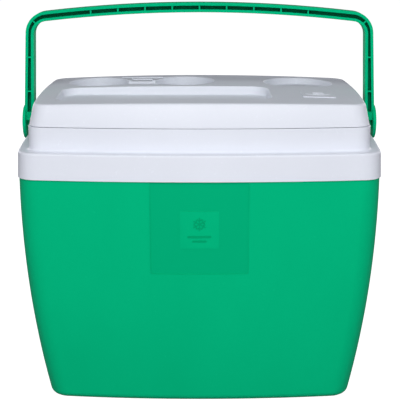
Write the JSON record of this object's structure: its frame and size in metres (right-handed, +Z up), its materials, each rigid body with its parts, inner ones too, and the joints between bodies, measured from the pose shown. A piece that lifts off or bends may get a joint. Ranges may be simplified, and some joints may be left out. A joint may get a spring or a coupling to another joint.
{
  "type": "portable cooler",
  "caption": "Picnic cooler: tapered insulated tub, white rim, lift-off lid with cup recesses and a tray, and a bail handle that swings front to back.",
  "frame": {"origin": "centre of the underside, on the surface that the cooler stands on", "axes": "+Z up, front faces -Y, +X to the right as seen from the front"},
  "size_m": [0.4578, 0.3074, 0.4895],
  "materials": {
    "green_shell": "satin",
    "green_handle": "satin",
    "white_rim": "satin",
    "white_lid": "satin",
    "white_liner": "gloss",
    "foam": "matte",
    "pin": "satin"
  },
  "bodies": {
    "tub": {"outer_shell": "green_shell", "body_insulation": "foam", "inner_liner": "white_liner", "rim": "white_rim"},
    "lid": {"lid_top": "white_lid", "lid_inner_panel": "white_liner", "lid_insulation": "foam"},
    "handle": {"handle": "green_handle", "pivot_pin_left": "pin", "pivot_pin_right": "pin"}
  },
  "joints": [
    {"name": "lid_lift", "type": "slide", "parent": "tub", "child": "lid", "axis": [0, 0, 1], "range_m": [0, 0.08]},
    {"name": "handle_swing", "type": "hinge", "parent": "tub", "child": "handle", "pos_m": [0, 0, 0.3362], "axis": [1, 0, 0], "range_deg": [-90, 90]}
  ]
}
